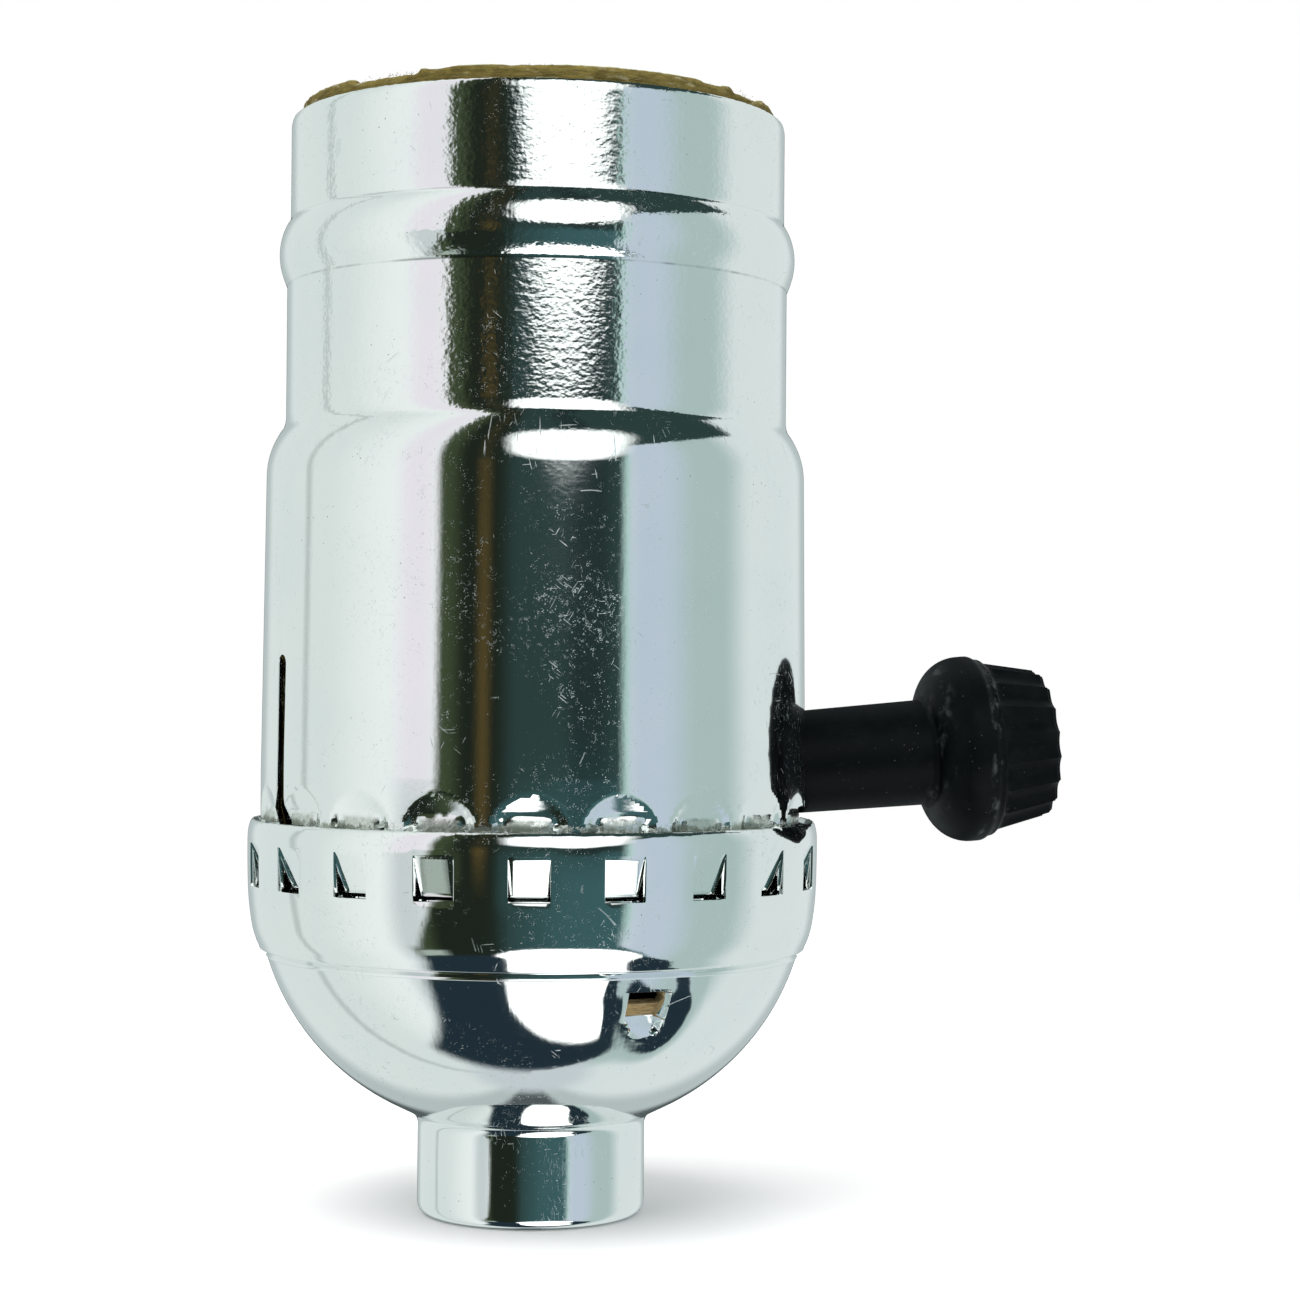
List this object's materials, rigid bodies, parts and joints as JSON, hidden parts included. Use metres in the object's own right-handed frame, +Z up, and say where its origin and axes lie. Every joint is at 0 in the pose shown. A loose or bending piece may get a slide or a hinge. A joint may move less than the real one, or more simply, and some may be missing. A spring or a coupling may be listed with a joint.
{
  "type": "turn-knob lamp socket",
  "caption": "Medium-base lamp socket with a drawn metal shell and cap, fibre liners, a screw shell for the bulb and a rotary switch turned by a side knob.",
  "frame": {"origin": "on the socket's axis at the end of the hub, where a lamp pipe enters", "axes": "+Z up along the axis to the bulb opening, +X towards the knob, +Y away from the pictured side"},
  "size_m": [0.0524, 0.0364, 0.0707],
  "materials": {
    "plated_shell": "polished nickel plate with fine scratches",
    "brass_shell": "rolled sheet brass",
    "contact_brass": "stamped brass",
    "zinc_steel": "zinc plate",
    "spring_steel": "bright spring steel",
    "fibre": "pressed brown fibre",
    "liner_board": "wound paper board with a fuzzy cut edge",
    "phenolic": "moulded phenolic",
    "knob_plastic": "satin moulded plastic"
  },
  "bodies": {
    "housing": {"outer_shell": "plated_shell", "socket_cap": "plated_shell", "hub_bushing": "zinc_steel", "cap_liner": "fibre", "insulating_liner": "liner_board", "screw_shell": "brass_shell", "switch_body": "phenolic", "contact_block": "phenolic", "neutral_terminal": "contact_brass", "line_terminal": "contact_brass", "neutral_screw": "zinc_steel", "line_screw": "contact_brass", "line_contact": "contact_brass", "load_contact": "contact_brass", "centre_contact": "contact_brass", "centre_rivet": "contact_brass", "body_rivet_a": "contact_brass", "body_rivet_b": "contact_brass", "detent_spring": "spring_steel", "thrust_washer": "zinc_steel"},
    "turn_knob": {"knob": "knob_plastic", "knob_shaft": "zinc_steel", "switch_rotor": "phenolic", "rotor_contact": "contact_brass"}
  },
  "joints": [
    {"name": "knob_turn", "type": "hinge", "parent": "housing", "child": "turn_knob", "pos_m": [0, 0, 0.02759], "axis": [0.9968, 0, 0.0802], "continuous": true}
  ]
}
